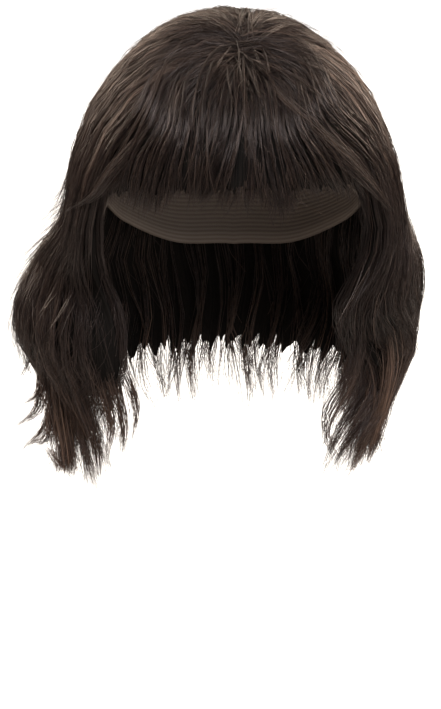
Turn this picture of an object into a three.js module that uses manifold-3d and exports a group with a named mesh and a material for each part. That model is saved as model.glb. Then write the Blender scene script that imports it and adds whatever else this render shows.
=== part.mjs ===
// A real hair wig with a full fringe and wavy, shoulder-length sides, as it sits on a head.
// Millimetres, +Z up. The front of the wig faces -Y, and +X is the wearer's left.
// The origin is the inside of the cap at the top of the head.
import * as THREE from "three";
import { mergeVertices } from "three/addons/utils/BufferGeometryUtils.js";
import Module from "manifold-3d";

// The head that the cap fits: half an ellipsoid above its widest level, 557 mm round.
const HEAD_HALF_WIDTH = 78;
const HEAD_HALF_LENGTH = 98;
const HEAD_HEIGHT = 100;

// The cap's wall, the clearance between two sections of hair, and the height of the hair's
// inner face over the cap, which leaves room for the sag of its flat facets.
const CAP_WALL = 1.5;
const PIECE_GAP = 0.5;
const HAIR_INSIDE = CAP_WALL + 1.3;

// The parting, as angles from the top of the head: to the wearer's left, and forwards.
const PARTING_FRONT = { side: 0.045, forward: 0.46 };
const PARTING_BACK = { side: 0.05, forward: 0.14 };
const PARTING_THICKNESS = 4;
const CROWN_THICKNESS = 9.5;

// The crown piece ends at this share of the way from the parting to the widest level,
// and the other sections start a gap further on. That way is about WAY_DOWN long.
const WAY_DOWN = 140;
const CROWN_END = 0.3;
const SECTION_START = CROWN_END + PIECE_GAP / WAY_DOWN;

// The cap's rim: how far it lies below the top of the head, by azimuth from the front.
const CAP_RIM = [
  { azimuth: 0, drop: 57 },
  { azimuth: 35, drop: 62 },
  { azimuth: 60, drop: 80 },
  { azimuth: 76, drop: 106 },
  { azimuth: 97, drop: 98 },
  { azimuth: 122, drop: 124 },
  { azimuth: 150, drop: 144 },
  { azimuth: 180, drop: 148 },
];

// The fringe by azimuth: where its hem lies, and its thickness at half its length.
const FRINGE_TABLE = [
  { azimuth: -62, hemDrop: 87, thickness: 13 },
  { azimuth: -32, hemDrop: 76, thickness: 13 },
  { azimuth: 0, hemDrop: 72, thickness: 12 },
  { azimuth: 32, hemDrop: 74, thickness: 13 },
  { azimuth: 62, hemDrop: 81, thickness: 13 },
];
const FRINGE = { from: -62, to: 62, locks: 16, groove: 2.2, notch: 6 };
const FRINGE_HEM_THICKNESS = 4;

// The long hair by azimuth. Drops are measured down from the top of the head, and reaches
// outwards from the head's widest level to the inner face of the hair, which hangs free.
const LENGTHS = [
  { azimuth: -180, hemDrop: 250, bellyDrop: 155, bellyReach: -10, hemReach: -14, belly: 25, hem: 10 },
  { azimuth: -150, hemDrop: 250, bellyDrop: 158, bellyReach: -7, hemReach: -10, belly: 25, hem: 10 },
  { azimuth: -128, hemDrop: 252, bellyDrop: 158, bellyReach: 12, hemReach: 8, belly: 21, hem: 9 },
  { azimuth: -108, hemDrop: 255, bellyDrop: 156, bellyReach: 25, hemReach: 18, belly: 20, hem: 8 },
  { azimuth: -90, hemDrop: 256, bellyDrop: 155, bellyReach: 27, hemReach: 17, belly: 20, hem: 8 },
  { azimuth: -75, hemDrop: 248, bellyDrop: 158, bellyReach: 11, hemReach: 0, belly: 20, hem: 8 },
  { azimuth: -62, hemDrop: 224, bellyDrop: 164, bellyReach: -8, hemReach: -23, belly: 16, hem: 8 },
  { azimuth: 62, hemDrop: 230, bellyDrop: 154, bellyReach: -12, hemReach: -22, belly: 16, hem: 8 },
  { azimuth: 75, hemDrop: 250, bellyDrop: 150, bellyReach: 3, hemReach: -10, belly: 18, hem: 8 },
  { azimuth: 90, hemDrop: 248, bellyDrop: 145, bellyReach: 14, hemReach: -2, belly: 18, hem: 8 },
  { azimuth: 108, hemDrop: 248, bellyDrop: 148, bellyReach: 12, hemReach: -3, belly: 20, hem: 8 },
  { azimuth: 128, hemDrop: 248, bellyDrop: 152, bellyReach: 2, hemReach: -5, belly: 22, hem: 9 },
  { azimuth: 150, hemDrop: 250, bellyDrop: 158, bellyReach: -8, hemReach: -11, belly: 25, hem: 10 },
  { azimuth: 180, hemDrop: 250, bellyDrop: 155, bellyReach: -10, hemReach: -14, belly: 25, hem: 10 },
];
const RIM_THICKNESS = 15;

// Each section of long hair: its span of azimuths, its locks, how deep the grooves between
// them are, and how far up the hem is notched between their tips.
const LENGTH_SECTIONS = [
  { name: "side_hair_right", from: -128, to: -62, locks: 9, groove: 3.2, notch: 20 },
  { name: "side_hair_left", from: 62, to: 128, locks: 9, groove: 3.2, notch: 20 },
  { name: "back_hair", from: 128, to: 232, locks: 12, groove: 3, notch: 18 },
];
const CROWN_LOCKS = 14;
const CROWN_GROOVE = 1.2;
const COLUMNS_PER_LOCK = 4;
const TIP_THICKNESS = 1.8;

// The wave that runs down the long hair. It leans a little further on with each degree of
// azimuth, and it dies out where a side meets the back.
const WAVE_LENGTH = 92;
const WAVE_OUT = 3.5;
const WAVE_ASIDE = 5;
const WAVE_PHASE = -60;
const WAVE_LEAN = 1.7;
const SIDE_MEETS_BACK = 128;

// Stray locks that leave a section: three points on the way from root to tip, and their
// half width at the root.
const STRAY_LOCKS = [
  { section: "side_hair_right", half: 7, way: [[-108, -4, -190], [-113, -7, -220], [-125, -10, -232]] },
  { section: "side_hair_right", half: 9, way: [[-102, -12, -202], [-96, -18, -252], [-109, -18, -241]] },
  { section: "side_hair_right", half: 7, way: [[-90, -29, -196], [-80, -30, -230], [-78, -30, -255]] },
  { section: "side_hair_right", half: 6, way: [[-71, -40, -184], [-64, -40, -216], [-64, -38, -239]] },
  { section: "side_hair_left", half: 7, way: [[72, -38, -182], [52, -45, -222], [61, -45, -240]] },
  { section: "side_hair_left", half: 8, way: [[79, -24, -206], [75, -29, -232], [68, -30, -252]] },
];
const STRAY_STEPS = 7;
const STRAY_SIDES = 8;
const STRAY_FLATNESS = 0.6;
const STRAY_TIP_SHARE = 0.16;

const HAIR_BROWN = new THREE.MeshStandardMaterial({ color: 0x3a2c26, roughness: 0.5, metalness: 0 });
const CAP_BROWN = new THREE.MeshStandardMaterial({ color: 0x2a211d, roughness: 0.9, metalness: 0 });

const { clamp, degToRad, radToDeg, lerp, smoothstep } = THREE.MathUtils;

const wasm = await Module();
wasm.setup();

// A table's columns at an azimuth, on a smooth curve through its rows.
function rowAt(table, azimuth) {
  const last = table.length - 1;
  const found = table.findIndex((row) => row.azimuth > azimuth);
  const next = clamp(found < 0 ? last : found, 1, last);
  const low = table[next - 1];
  const high = table[next];
  const span = high.azimuth - low.azimuth;
  const t = (azimuth - low.azimuth) / span;
  const slope = (index, column) => {
    const before = table[Math.max(index - 1, 0)];
    const after = table[Math.min(index + 1, last)];
    return (after[column] - before[column]) / (after.azimuth - before.azimuth);
  };
  const row = {};
  for (const column of Object.keys(low)) {
    const share = t * t * (3 - 2 * t);
    const bend = t * (1 - t) * span;
    row[column] = lerp(low[column], high[column], share)
      + bend * ((1 - t) * slope(next - 1, column) - t * slope(next, column));
  }
  return row;
}

// An azimuth in degrees brought into -180 to 180.
function wrapped(azimuth) {
  return azimuth > 180 ? azimuth - 360 : azimuth;
}

// A point at a height over the head. Its two angles are measured from the top of the head,
// to the wearer's left and forwards.
function onDome(side, forward, height) {
  const fromTop = Math.hypot(side, forward);
  const azimuth = Math.atan2(side, forward);
  return new THREE.Vector3(
    (HEAD_HALF_WIDTH + height) * Math.sin(fromTop) * Math.sin(azimuth),
    -(HEAD_HALF_LENGTH + height) * Math.sin(fromTop) * Math.cos(azimuth),
    (HEAD_HEIGHT + height) * Math.cos(fromTop) - HEAD_HEIGHT,
  );
}

// Where hair combed towards an azimuth leaves the parting: its front end feeds the fringe,
// and its back end feeds the back.
function partingStart(azimuth) {
  const share = smoothstep(Math.abs(wrapped(azimuth)), 30, 150);
  return {
    side: lerp(PARTING_FRONT.side, PARTING_BACK.side, share),
    forward: lerp(PARTING_FRONT.forward, PARTING_BACK.forward, share),
  };
}

// A point on the way from the parting, at 0, to the head's widest level, at 1.
function combed(azimuth, along, height) {
  const start = partingStart(azimuth);
  const angle = degToRad(azimuth);
  const side = lerp(start.side, (Math.PI / 2) * Math.sin(angle), along);
  const forward = lerp(start.forward, (Math.PI / 2) * Math.cos(angle), along);
  return onDome(side, forward, height);
}

// A point of hair that hangs below the head's widest level.
function hanging(azimuth, drop, reach) {
  const angle = degToRad(azimuth);
  return new THREE.Vector3(
    (HEAD_HALF_WIDTH + reach) * Math.sin(angle),
    -(HEAD_HALF_LENGTH + reach) * Math.cos(angle),
    -drop,
  );
}

// How deep a column lies in the groove between two locks: 1 in it, and 0 on a lock's crest.
function grooveShare(column) {
  return Math.abs((2 * (column % COLUMNS_PER_LOCK)) / COLUMNS_PER_LOCK - 1);
}

// The azimuth of a section's column, narrowed at both ends for clearance.
function columnAzimuth(section, column, along) {
  const gap = radToDeg(PIECE_GAP / 2 / (WAY_DOWN * Math.min(along, 1)));
  const share = column / (section.locks * COLUMNS_PER_LOCK);
  return lerp(section.from + gap, section.to - gap, share);
}

// A grid of rows and columns of points on the outer face and on the inner face of a wall.
function wallGrid(rows, columns, place) {
  const grid = { outer: [], inner: [], rows, columns };
  for (let row = 0; row < rows; row++) {
    for (let column = 0; column < columns; column++) {
      const [outerPoint, innerPoint] = place(row, column);
      grid.outer.push(outerPoint);
      grid.inner.push(innerPoint);
    }
  }
  return grid;
}

// The faces of a wall: both of its sides, and its lower edge. A wall that is a ring also
// joins its last column to its first.
function wallFaces({ rows, columns }, isRing) {
  const faces = [];
  const quad = (a, b, c, d) => faces.push(a, b, c, a, c, d);
  const outer = (row, column) => row * columns + (column % columns);
  const inner = (row, column) => rows * columns + outer(row, column);
  const bottom = rows - 1;
  const across = isRing ? columns : columns - 1;
  for (let c = 0; c < across; c++) {
    for (let r = 0; r < bottom; r++) {
      quad(outer(r, c), outer(r + 1, c), outer(r + 1, c + 1), outer(r, c + 1));
      quad(inner(r, c), inner(r, c + 1), inner(r + 1, c + 1), inner(r + 1, c));
    }
    quad(outer(bottom, c), inner(bottom, c), inner(bottom, c + 1), outer(bottom, c + 1));
  }
  if (!isRing) {
    const last = columns - 1;
    for (let c = 0; c < last; c++) quad(outer(0, c), outer(0, c + 1), inner(0, c + 1), inner(0, c));
    for (let r = 0; r < bottom; r++) {
      quad(outer(r, 0), inner(r, 0), inner(r + 1, 0), outer(r + 1, 0));
      quad(outer(r, last), outer(r + 1, last), inner(r + 1, last), inner(r, last));
    }
  }
  return faces;
}

// A wall that hangs from its first row.
function sheetGeometry(grid) {
  return geometryOf([...grid.outer, ...grid.inner], wallFaces(grid, false));
}

// A wall that runs right round, closed over its first row by a fan to a point on each face.
function domeGeometry(grid, outerTop, innerTop) {
  const points = [...grid.outer, ...grid.inner, outerTop, innerTop];
  const faces = wallFaces(grid, true);
  const innerStart = grid.rows * grid.columns;
  for (let c = 0; c < grid.columns; c++) {
    const next = (c + 1) % grid.columns;
    faces.push(points.length - 2, c, next);
    faces.push(points.length - 1, innerStart + next, innerStart + c);
  }
  return geometryOf(points, faces);
}

function geometryOf(points, faces) {
  return new THREE.BufferGeometry().setFromPoints(points).setIndex(faces);
}

// A geometry as a solid that can be joined to another.
function solidOf(geometry) {
  const merged = mergeVertices(geometry, 1e-4);
  return new wasm.Manifold(
    new wasm.Mesh({
      numProp: 3,
      vertProperties: new Float32Array(merged.getAttribute("position").array),
      triVerts: new Uint32Array(merged.getIndex().array),
    }),
  );
}

function geometryFrom(solid) {
  const { vertProperties, triVerts } = solid.getMesh();
  const geometry = new THREE.BufferGeometry();
  geometry.setAttribute("position", new THREE.BufferAttribute(vertProperties, 3));
  geometry.setIndex(new THREE.BufferAttribute(triVerts, 1));
  return geometry;
}

// The cap: an even wall from the top of the head down to its rim.
function capGeometry() {
  const columns = 40;
  const rows = 9;
  const firstRing = 0.12;
  const grid = wallGrid(rows, columns, (row, column) => {
    const azimuth = wrapped((360 * column) / columns);
    const { drop } = rowAt(CAP_RIM, Math.abs(azimuth));
    const fromTop = lerp(firstRing, Math.acos(1 - drop / HEAD_HEIGHT), row / (rows - 1));
    const side = fromTop * Math.sin(degToRad(azimuth));
    const forward = fromTop * Math.cos(degToRad(azimuth));
    return [onDome(side, forward, CAP_WALL), onDome(side, forward, 0)];
  });
  return domeGeometry(grid, onDome(0, 0, CAP_WALL), onDome(0, 0, 0));
}

// The crown piece: shallow locks that fan out all round the parting.
function crownGeometry() {
  const columns = CROWN_LOCKS * COLUMNS_PER_LOCK;
  const stations = [0.05, 0.11, 0.2, CROWN_END];
  const grid = wallGrid(stations.length, columns, (row, column) => {
    const along = stations[row];
    const azimuth = (360 * column) / columns;
    const full = lerp(PARTING_THICKNESS, CROWN_THICKNESS, smoothstep(along, 0, CROWN_END));
    const thickness = full - CROWN_GROOVE * grooveShare(column);
    return [
      combed(azimuth, along, HAIR_INSIDE + thickness),
      combed(azimuth, along, HAIR_INSIDE),
    ];
  });
  const side = (PARTING_FRONT.side + PARTING_BACK.side) / 2;
  const forward = (PARTING_FRONT.forward + PARTING_BACK.forward) / 2;
  const outerTop = onDome(side, forward, HAIR_INSIDE + PARTING_THICKNESS);
  return domeGeometry(grid, outerTop, onDome(side, forward, HAIR_INSIDE));
}

// How far along the way from the parting the hair has come down by a drop.
function alongAtDrop(azimuth, drop) {
  let low = 0;
  let high = 1;
  for (let halving = 0; halving < 30; halving++) {
    const middle = (low + high) / 2;
    if (-combed(azimuth, middle, HAIR_INSIDE).z < drop) low = middle;
    else high = middle;
  }
  return low;
}

// The fringe: locks over the forehead that taper to a level hem.
function fringeGeometry() {
  const rows = 8;
  const columns = FRINGE.locks * COLUMNS_PER_LOCK + 1;
  const grid = wallGrid(rows, columns, (row, column) => {
    const groove = grooveShare(column);
    const { hemDrop, thickness } = rowAt(FRINGE_TABLE, columnAzimuth(FRINGE, column, 1));
    const hem = alongAtDrop(columnAzimuth(FRINGE, column, 1), hemDrop - FRINGE.notch * groove);
    const share = row / (rows - 1);
    const along = lerp(SECTION_START, hem, share);
    const azimuth = columnAzimuth(FRINGE, column, along);
    const swell = lerp(CROWN_THICKNESS, thickness, smoothstep(share, 0, 0.5));
    const full = lerp(swell, FRINGE_HEM_THICKNESS, smoothstep(share, 0.45, 1));
    const cut = FRINGE.groove * groove * lerp(0.4, 1, share);
    return [
      combed(azimuth, along, HAIR_INSIDE + Math.max(full - cut, TIP_THICKNESS)),
      combed(azimuth, along, HAIR_INSIDE),
    ];
  });
  return sheetGeometry(grid);
}

// How the long hair runs at an azimuth and a drop: the reach of its inner face, kept clear
// of the cap down to the cap's rim, and its thickness before the locks are cut.
function fallAt(azimuth, drop) {
  const row = rowAt(LENGTHS, azimuth);
  const toBelly = smoothstep(drop, HEAD_HEIGHT, row.bellyDrop);
  const toHem = smoothstep(drop, row.bellyDrop, row.hemDrop);
  const free = lerp(lerp(HAIR_INSIDE, row.bellyReach, toBelly), row.hemReach, toHem);
  const belowWidest = (drop - HEAD_HEIGHT) / HEAD_HEIGHT;
  const narrowing = 1 - Math.sqrt(Math.max(1 - belowWidest ** 2, 0));
  const belowRim = smoothstep(drop - rowAt(CAP_RIM, Math.abs(azimuth)).drop, 0, 20);
  const overCap = HAIR_INSIDE - HEAD_HALF_WIDTH * narrowing;
  return {
    reach: Math.max(free, lerp(overCap, free, belowRim)),
    thickness: lerp(lerp(RIM_THICKNESS, row.belly, toBelly), row.hem, toHem),
  };
}

// The wave at a drop: outwards in millimetres, and round the head in degrees.
function waveAt(azimuth, drop) {
  const depth = smoothstep(drop, HEAD_HEIGHT, 1.5 * HEAD_HEIGHT);
  const loose = smoothstep(Math.abs(Math.abs(azimuth) - SIDE_MEETS_BACK), 0, 25);
  const lean = degToRad(WAVE_PHASE + WAVE_LEAN * Math.abs(azimuth));
  const turn = (2 * Math.PI * (drop - HEAD_HEIGHT)) / WAVE_LENGTH + lean;
  return {
    out: WAVE_OUT * depth * Math.sin(turn),
    aside: radToDeg((WAVE_ASIDE * depth * loose * Math.cos(turn)) / HEAD_HALF_LENGTH),
  };
}

// A section of long hair: over the head from the crown piece, then hanging to its hem.
function lengthGeometry(section) {
  const domeStations = [0, 0.22, 0.46, 0.72, 1];
  const fallStations = [0.14, 0.3, 0.46, 0.62, 0.76, 0.89, 1];
  const columns = section.locks * COLUMNS_PER_LOCK + 1;
  const rows = domeStations.length + fallStations.length;
  const grid = wallGrid(rows, columns, (row, column) => {
    const groove = grooveShare(column);
    if (row < domeStations.length) {
      const share = domeStations[row];
      const along = lerp(SECTION_START, 1, share);
      const azimuth = columnAzimuth(section, column, along);
      const full = lerp(CROWN_THICKNESS, RIM_THICKNESS, share);
      const thickness = full - section.groove * groove * lerp(0.4, 0.8, share);
      return [
        combed(azimuth, along, HAIR_INSIDE + thickness),
        combed(azimuth, along, HAIR_INSIDE),
      ];
    }
    const share = fallStations[row - domeStations.length];
    const azimuth = wrapped(columnAzimuth(section, column, 1));
    const { hemDrop } = rowAt(LENGTHS, azimuth);
    const tip = smoothstep(share, 0.6, 1);
    const drop = lerp(HEAD_HEIGHT, hemDrop, share) - section.notch * groove * tip;
    const { reach, thickness } = fallAt(azimuth, drop);
    const wave = waveAt(azimuth, drop);
    const swayed = azimuth + wave.aside;
    const cut = section.groove * groove * lerp(0.8, 1.2, share);
    const thin = Math.max(lerp(thickness - cut, TIP_THICKNESS, tip), TIP_THICKNESS);
    const inside = reach + wave.out + 0.35 * tip * thickness;
    return [hanging(swayed, drop, inside + thin), hanging(swayed, drop, inside)];
  });
  return sheetGeometry(grid);
}

// A stray lock: a flattened tube along a curve, thinning to its tip.
function strayGeometry({ way, half }) {
  const curve = new THREE.CatmullRomCurve3(way.map((point) => new THREE.Vector3(...point)));
  const { normals, binormals } = curve.computeFrenetFrames(STRAY_STEPS);
  const points = [];
  for (let step = 0; step <= STRAY_STEPS; step++) {
    const share = step / STRAY_STEPS;
    const size = half * lerp(1, STRAY_TIP_SHARE, share * share);
    for (let side = 0; side < STRAY_SIDES; side++) {
      const turn = (2 * Math.PI * side) / STRAY_SIDES;
      const point = curve.getPointAt(share);
      point.addScaledVector(normals[step], size * Math.cos(turn));
      point.addScaledVector(binormals[step], size * STRAY_FLATNESS * Math.sin(turn));
      points.push(point);
    }
  }
  const faces = [];
  const at = (step, side) => step * STRAY_SIDES + (side % STRAY_SIDES);
  for (let side = 0; side < STRAY_SIDES; side++) {
    for (let step = 0; step < STRAY_STEPS; step++) {
      faces.push(at(step, side), at(step, side + 1), at(step + 1, side + 1));
      faces.push(at(step, side), at(step + 1, side + 1), at(step + 1, side));
    }
    if (side > 1) {
      faces.push(at(0, 0), at(0, side), at(0, side - 1));
      faces.push(at(STRAY_STEPS, 0), at(STRAY_STEPS, side - 1), at(STRAY_STEPS, side));
    }
  }
  return geometryOf(points, faces);
}

// A section of long hair with its stray locks joined on.
function lengthWithStrays(section) {
  let solid = solidOf(lengthGeometry(section));
  for (const lock of STRAY_LOCKS) {
    if (lock.section === section.name) solid = solid.add(solidOf(strayGeometry(lock)));
  }
  return geometryFrom(solid);
}

const wig = new THREE.Group();

function addPiece(name, geometry, material) {
  const mesh = new THREE.Mesh(geometry, material);
  mesh.name = name;
  wig.add(mesh);
}

addPiece("cap", capGeometry(), CAP_BROWN);
addPiece("crown_hair", crownGeometry(), HAIR_BROWN);
addPiece("fringe", fringeGeometry(), HAIR_BROWN);
for (const section of LENGTH_SECTIONS) addPiece(section.name, lengthWithStrays(section), HAIR_BROWN);

export default wig;
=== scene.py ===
"""A real hair wig with a full fringe and wavy sides, dressed strand by strand over its solids.

Lengths are in millimetres until they go into a mesh. Azimuths are in degrees from the front,
positive towards the wearer's left. Drops are measured down from the top of the cap."""
import math

import bpy
import numpy as np
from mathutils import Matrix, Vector


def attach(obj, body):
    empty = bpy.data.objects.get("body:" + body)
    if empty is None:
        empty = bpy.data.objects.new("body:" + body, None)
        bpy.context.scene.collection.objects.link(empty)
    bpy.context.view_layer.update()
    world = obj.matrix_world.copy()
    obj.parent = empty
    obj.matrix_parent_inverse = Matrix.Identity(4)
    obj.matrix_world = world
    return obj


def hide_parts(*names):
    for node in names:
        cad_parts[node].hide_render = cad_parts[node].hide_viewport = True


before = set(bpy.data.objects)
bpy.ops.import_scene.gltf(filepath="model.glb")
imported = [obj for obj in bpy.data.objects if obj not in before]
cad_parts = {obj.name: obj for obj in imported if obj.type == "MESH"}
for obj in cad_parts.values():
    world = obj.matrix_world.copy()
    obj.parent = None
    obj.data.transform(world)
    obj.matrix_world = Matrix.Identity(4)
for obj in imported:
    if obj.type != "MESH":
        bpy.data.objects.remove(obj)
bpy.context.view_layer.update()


# The cap
# A wig is built on a fitted cap of fine brown net, cut higher at the front than at the back. Rows
# of hair are sewn to it one above the other. Only its inside is seen, below the fringe.
CAP_HALF_WIDTH = 78.0
CAP_HALF_LENGTH = 98.0
CAP_HEIGHT = 100.0  # from its widest level to its top
CAP_WALL = 1.5
CAP_RIM = np.array([  # azimuth, drop of the rim
    (0, 57), (35, 62), (60, 80), (76, 106), (97, 98), (122, 124), (150, 144), (180, 148),
], float)
SEWN_ROW_SCALE = 26.0
NET_SCALE = (420.0, 150.0, 1.0)
NET_DARK = (0.13, 0.104, 0.087, 1)
NET_LIGHT = (0.2, 0.162, 0.137, 1)


def smooth(x, low, high):
    """0 below low, 1 above high, and an eased step between them."""
    t = np.clip((x - low) / (high - low), 0, 1)
    return t * t * (3 - 2 * t)


def lerp(a, b, t):
    """The value at the share t from a to b."""
    return a + (b - a) * t


def wrapped(azimuth):
    """The same azimuth between -180 and 180."""
    return (azimuth + 180) % 360 - 180


def table_at(table, places):
    """A table's other columns at places in its first, on a smooth curve through its rows."""
    flat = np.ravel(places)
    knots = table[:, 0]
    last = len(knots) - 1
    before = table[np.maximum(np.arange(last + 1) - 1, 0)]
    after = table[np.minimum(np.arange(last + 1) + 1, last)]
    slope = (after - before) / (after[:, :1] - before[:, :1])
    high = np.clip(np.searchsorted(knots, flat, side="right"), 1, last)
    low = high - 1
    span = (knots[high] - knots[low])[:, None]
    t = (flat[:, None] - knots[low][:, None]) / span
    bend = t * (1 - t) * span * ((1 - t) * slope[low] - t * slope[high])
    row = lerp(table[low], table[high], t * t * (3 - 2 * t)) + bend
    return [row[:, k].reshape(np.shape(places)) for k in range(1, table.shape[1])]


def on_dome(side, forward, height):
    """Points at a height over the cap's inside, by their angles from its top in radians."""
    from_top = np.hypot(side, forward)
    azimuth = np.arctan2(side, forward)
    return np.stack([
        (CAP_HALF_WIDTH + height) * np.sin(from_top) * np.sin(azimuth),
        -(CAP_HALF_LENGTH + height) * np.sin(from_top) * np.cos(azimuth),
        (CAP_HEIGHT + height) * np.cos(from_top) - CAP_HEIGHT,
    ], axis=-1)


def millimetres(mesh, points):
    """Moves a mesh's vertices to points given in millimetres."""
    mesh.vertices.foreach_set("co", (np.asarray(points, np.float32) / 1000).ravel())
    mesh.update()


def grid_piece(name, columns, rows, shape):
    """A grid bent to the points that shape(across, down) gives, and the shares it was given."""
    bpy.ops.object.select_all(action="DESELECT")
    bpy.ops.mesh.primitive_grid_add(x_subdivisions=columns, y_subdivisions=rows, size=1)
    piece = bpy.context.object
    piece.name = name
    flat = np.empty(len(piece.data.vertices) * 3, np.float32)
    piece.data.vertices.foreach_get("co", flat)
    flat = flat.reshape(-1, 3)
    across, down = flat[:, 0] + 0.5, 0.5 - flat[:, 1]
    millimetres(piece.data, shape(across, down))
    piece.data.uv_layers[0].name = "OFBake"
    piece.data.shade_smooth()
    return piece, across, down


def apply_modifiers(piece):
    """Applies the modifiers of a piece, in their order."""
    bpy.context.view_layer.objects.active = piece
    for modifier in list(piece.modifiers):
        bpy.ops.object.modifier_apply(modifier=modifier.name)


def merge_doubles(piece, distance):
    """Closes a piece's seams and poles, whose vertices lie within a distance in metres."""
    bpy.context.view_layer.objects.active = piece
    bpy.ops.object.mode_set(mode="EDIT")
    bpy.ops.mesh.select_all(action="SELECT")
    bpy.ops.mesh.remove_doubles(threshold=distance)
    bpy.ops.object.mode_set(mode="OBJECT")


def new_material(name):
    """A material, its node tree and its shader."""
    material = bpy.data.materials.new(name)
    material.use_nodes = True
    tree = material.node_tree
    return material, tree, tree.nodes["Principled BSDF"]


def set_up(node, **settings):
    """Sets a node's inputs, whose names have _ for a space here, or its other properties."""
    for key, value in settings.items():
        socket = key.replace("_", " ")
        if socket in node.inputs.keys():
            node.inputs[socket].default_value = value
        else:
            setattr(node, key, value)
    return node


def add_node(tree, kind, **settings):
    """A new shader node with its settings."""
    return set_up(tree.nodes.new(f"ShaderNode{kind}"), **settings)


def link(source, output, target, socket):
    """Joins an output of one node to an input of another."""
    source.id_data.links.new(source.outputs[output], target.inputs[socket])


def set_stops(node, stops):
    """Gives a colour ramp its stops, as (place, colour)."""
    elements = node.color_ramp.elements
    elements.remove(elements[1])
    elements[0].position, elements[0].color = stops[0]
    for place, colour in stops[1:]:
        elements.new(place).color = colour


def cap_shape(across, down):
    """The cap's outer face, from its top down to its rim."""
    azimuth = wrapped(360 * across)
    rim = np.arccos(1 - table_at(CAP_RIM, np.abs(azimuth))[0] / CAP_HEIGHT)
    from_top = rim * down
    angle = np.radians(azimuth)
    return on_dome(from_top * np.sin(angle), from_top * np.cos(angle), CAP_WALL)


cap, _, _ = grid_piece("cap_net", columns=96, rows=26, shape=cap_shape)
merge_doubles(cap, distance=1e-5)
wall = cap.modifiers.new("wall", "SOLIDIFY")
wall.thickness = CAP_WALL / 1000
wall.offset = -1
apply_modifiers(cap)

net, tree, shader = new_material("cap_net")
uv = add_node(tree, "UVMap", uv_map="OFBake")
row_scale = add_node(tree, "Mapping", Scale=(0.0, SEWN_ROW_SCALE, 1.0))
sewn_rows = add_node(tree, "TexWave", bands_direction="Y", Scale=1.0)
net_scale = add_node(tree, "Mapping", Scale=NET_SCALE)
knit = add_node(tree, "TexVoronoi", feature="DISTANCE_TO_EDGE", voronoi_dimensions="2D", Scale=1.0)
tone = add_node(tree, "ValToRGB")
set_stops(tone, [(0.0, NET_DARK), (1.0, NET_LIGHT)])
raised = add_node(tree, "Math", operation="MULTIPLY_ADD")
raised.inputs[1].default_value = 0.6
bump = add_node(tree, "Bump", Strength=0.3, Distance=0.0008)
link(uv, "UV", row_scale, "Vector")
link(uv, "UV", net_scale, "Vector")
link(row_scale, "Vector", sewn_rows, "Vector")
link(net_scale, "Vector", knit, "Vector")
link(sewn_rows, "Fac", tone, "Fac")
link(tone, "Color", shader, "Base Color")
link(sewn_rows, "Fac", raised, 0)
link(knit, "Distance", raised, 2)
link(raised, "Value", bump, "Height")
link(bump, "Normal", shader, "Normal")
set_up(shader, Roughness=0.85, Specular_IOR_Level=0.2)
cap.data.materials.append(net)
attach(cap, "root")
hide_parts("cap")


# The crown hair
# Hair is knotted to the top of the cap one strand at a time round a short parting, and it fans
# out from there on every side. Near the parting it lies low and shows its roots.
HAIR_INSIDE = CAP_WALL + 1.3
PARTING_FRONT = (0.045, 0.46)  # sideways and forwards from the top, in radians
PARTING_BACK = (0.05, 0.14)
PARTING_THICKNESS = 4.0
CROWN_THICKNESS = 9.5
RIM_THICKNESS = 15.0
CROWN_END = 0.3  # a share of the way from the parting to the cap's widest level
ROOT_HEIGHT = 2.0
ROOT_RISE = 0.13  # the share of the way on which a strand rises to its layer
ROOT_SPREAD = (0.045, 0.085)  # sideways and forwards, in radians
CROWN_SEED = 11
CROWN_MASS_WALL = 1.2
MASS_FILL = 0.6  # the share of the hair's thickness that its dense inside fills
STRAND_ROLL = math.radians(28)
TONE_STRIP = 0.03  # the width in u of a strand's own strip
END_STRIP = 0.004  # the height in v of the face that closes an end
TINY = 1e-9
FRIZZ_WAVES = ((0.8, 0.65), (1.8, 0.45), (2.9, 0.25))  # waves on a strand, their share
DARKEST_TONE, MIDDLE_TONE, LIGHTEST_TONE = 0.02, 0.46, 0.98
STRAND_DARK = (0.0042, 0.0026, 0.0023, 1)
STRAND_BROWN = (0.0142, 0.0093, 0.008, 1)
STRAND_LIGHT = (0.068, 0.0445, 0.034, 1)
SHORT_HAIR_LIFTS = [(0.0, 0.4), (0.18, 0.75), (0.38, 1.0), (1.0, 1.15)]
# Painted shade: the dense inside of the hair is far darker than its strands, for the shade deep
# inside it.
MASS_DARK = (0.0014, 0.001, 0.0008, 1)
MASS_LIGHT = (0.0075, 0.0052, 0.004, 1)
STREAK_SCALE = (160.0, 2.0, 1.0)


def combed(azimuth, along, height, scatter=(0.0, 0.0)):
    """Points on the way from the parting, at 0, to the cap's widest level, at 1.

    scatter moves the root sideways and forwards, in radians, and fades out on the way."""
    backwards = smooth(np.abs(wrapped(azimuth)), 30, 150)
    angle = np.radians(azimuth)
    fade = 1 - smooth(along, 0, 0.7)
    side = lerp(PARTING_FRONT[0], PARTING_BACK[0], backwards) + scatter[0] * fade
    forward = lerp(PARTING_FRONT[1], PARTING_BACK[1], backwards) + scatter[1] * fade
    return on_dome(lerp(side, math.pi / 2 * np.sin(angle), along),
                   lerp(forward, math.pi / 2 * np.cos(angle), along), height)


def dome_thickness(along):
    """The hair's thickness over the cap, which grows from the parting to the widest level."""
    crown = lerp(PARTING_THICKNESS, CROWN_THICKNESS, smooth(along, 0, CROWN_END))
    return lerp(crown, RIM_THICKNESS, np.clip((along - CROWN_END) / (1 - CROWN_END), 0, 1))


def finish_piece(piece, node, material):
    """Gives a piece of hair its material and puts it in the place of a solid."""
    piece.data.materials.append(material)
    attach(piece, "root")
    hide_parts(node)


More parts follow.
